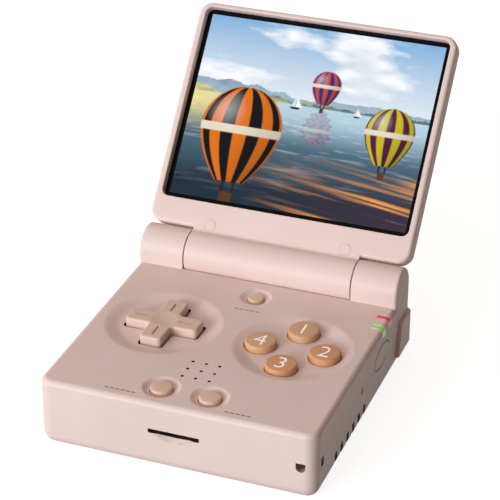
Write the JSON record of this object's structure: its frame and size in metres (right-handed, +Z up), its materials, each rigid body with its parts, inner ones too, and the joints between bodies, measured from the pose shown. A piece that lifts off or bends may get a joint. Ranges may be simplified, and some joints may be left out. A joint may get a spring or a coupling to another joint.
{
  "type": "handheld game console",
  "caption": "Clamshell handheld game console: lid with a recessed screen on a detent hinge, over a base with a directional pad, round face buttons and shoulder buttons",
  "frame": {"origin": "centre of the flat underside that the base rests on", "axes": "+X to the console's right as seen from the front, +Y from the front edge to the hinge, +Z up; the lid is stored open at 130.3 degrees"},
  "size_m": [0.0788, 0.1228, 0.08],
  "materials": {
    "shell_plastic": "light satin",
    "pad_plastic": "satin",
    "button_plastic": "satin",
    "small_button_plastic": "satin",
    "board": "solder mask",
    "steel": "plain",
    "battery_wrap": "foil pouch",
    "dark_plastic": "moulded",
    "lamp_white": "clear",
    "charge_lens": "translucent red",
    "power_lens": "translucent green",
    "support_plastic": "moulded",
    "silicone_rubber": "matt",
    "flex_film": "polyimide film",
    "screen_glass": "clear, black border",
    "lcd": "lit picture"
  },
  "bodies": {
    "base": {"top_shell": "shell_plastic", "bottom_shell": "shell_plastic", "main_board": "board", "processor_shield": "steel", "battery_pack": "battery_wrap", "speaker": "dark_plastic", "card_socket": "steel", "usb_port": "steel", "headphone_jack": "dark_plastic", "power_switch": "dark_plastic", "volume_switches": "dark_plastic", "option_switches": "dark_plastic", "shoulder_switches": "dark_plastic", "indicator_leds": "lamp_white", "charge_light_pipe": "charge_lens", "power_light_pipe": "power_lens", "case_screws": "steel", "shoulder_pins": "steel", "volume_pin": "steel", "hinge_shaft": "steel", "hinge_sleeve": "steel", "dpad_post": "support_plastic", "dpad_membrane": "silicone_rubber", "button_membrane": "silicone_rubber", "display_cable": "flex_film"},
    "lid": {"lid_bezel": "shell_plastic", "lid_cover": "shell_plastic", "screen_glass": "screen_glass", "lcd_panel": "lcd", "lcd_backplate": "steel", "hinge_cartridge": "steel", "hinge_bush": "support_plastic", "lid_screws": "steel", "screw_covers": "shell_plastic", "lid_magnet": "steel"},
    "dpad_ball": {"dpad_ball": "steel"},
    "dpad": {"dpad": "pad_plastic"},
    "button_top": {"button_top": "button_plastic"},
    "button_right": {"button_right": "button_plastic"},
    "button_bottom": {"button_bottom": "button_plastic"},
    "button_left": {"button_left": "button_plastic"},
    "select_button": {"select_button": "small_button_plastic"},
    "start_button": {"start_button": "small_button_plastic"},
    "menu_button": {"menu_button": "small_button_plastic"},
    "power_button": {"power_button": "shell_plastic"},
    "volume_rocker": {"volume_rocker": "small_button_plastic"},
    "shoulder_button_left": {"shoulder_button_left": "shell_plastic"},
    "shoulder_button_right": {"shoulder_button_right": "shell_plastic"}
  },
  "joints": [
    {"name": "lid_hinge", "type": "hinge", "parent": "base", "child": "lid", "pos_m": [0, 0.0336, 0.0227], "axis": [-1, 0, 0], "range_deg": [-130.3, 24.7], "deforming": ["display_cable"]},
    {"name": "dpad_tilt_x", "type": "hinge", "parent": "base", "child": "dpad_ball", "pos_m": [-0.0185, -0.0016, 0.0149], "axis": [1, 0, 0], "range_deg": [-5, 5], "stiffness_Nm_per_rad": 0.05, "deforming": ["dpad_membrane"]},
    {"name": "dpad_tilt_y", "type": "hinge", "parent": "dpad_ball", "child": "dpad", "pos_m": [-0.0185, -0.0016, 0.0149], "axis": [0, 1, 0], "range_deg": [-5, 5], "stiffness_Nm_per_rad": 0.05, "deforming": ["dpad_membrane"]},
    {"name": "button_top_press", "type": "slide", "parent": "base", "child": "button_top", "axis": [0, 0, -1], "range_m": [0, 0.001], "stiffness_N_per_m": 600, "deforming": ["button_membrane"]},
    {"name": "button_right_press", "type": "slide", "parent": "base", "child": "button_right", "axis": [0, 0, -1], "range_m": [0, 0.001], "stiffness_N_per_m": 600, "deforming": ["button_membrane"]},
    {"name": "button_bottom_press", "type": "slide", "parent": "base", "child": "button_bottom", "axis": [0, 0, -1], "range_m": [0, 0.001], "stiffness_N_per_m": 600, "deforming": ["button_membrane"]},
    {"name": "button_left_press", "type": "slide", "parent": "base", "child": "button_left", "axis": [0, 0, -1], "range_m": [0, 0.001], "stiffness_N_per_m": 600, "deforming": ["button_membrane"]},
    {"name": "select_press", "type": "slide", "parent": "base", "child": "select_button", "axis": [0, 0, -1], "range_m": [0, 0.0006], "stiffness_N_per_m": 800},
    {"name": "start_press", "type": "slide", "parent": "base", "child": "start_button", "axis": [0, 0, -1], "range_m": [0, 0.0006], "stiffness_N_per_m": 800},
    {"name": "menu_press", "type": "slide", "parent": "base", "child": "menu_button", "axis": [0, 0, -1], "range_m": [0, 0.0006], "stiffness_N_per_m": 800},
    {"name": "power_press", "type": "slide", "parent": "base", "child": "power_button", "axis": [-1, 0, 0], "range_m": [0, 0.0005], "stiffness_N_per_m": 800},
    {"name": "volume_rock", "type": "hinge", "parent": "base", "child": "volume_rocker", "pos_m": [-0.036, 0.0119, 0.0121], "axis": [0, 0, 1], "range_deg": [-3.5, 3.5], "stiffness_Nm_per_rad": 0.05},
    {"name": "shoulder_left_press", "type": "hinge", "parent": "base", "child": "shoulder_button_left", "pos_m": [-0.0351, 0.0318, 0.01], "axis": [0, 0, -1], "range_deg": [0, 3.5], "stiffness_Nm_per_rad": 0.1},
    {"name": "shoulder_right_press", "type": "hinge", "parent": "base", "child": "shoulder_button_right", "pos_m": [0.0351, 0.0318, 0.01], "axis": [0, 0, 1], "range_deg": [0, 3.5], "stiffness_Nm_per_rad": 0.1}
  ]
}
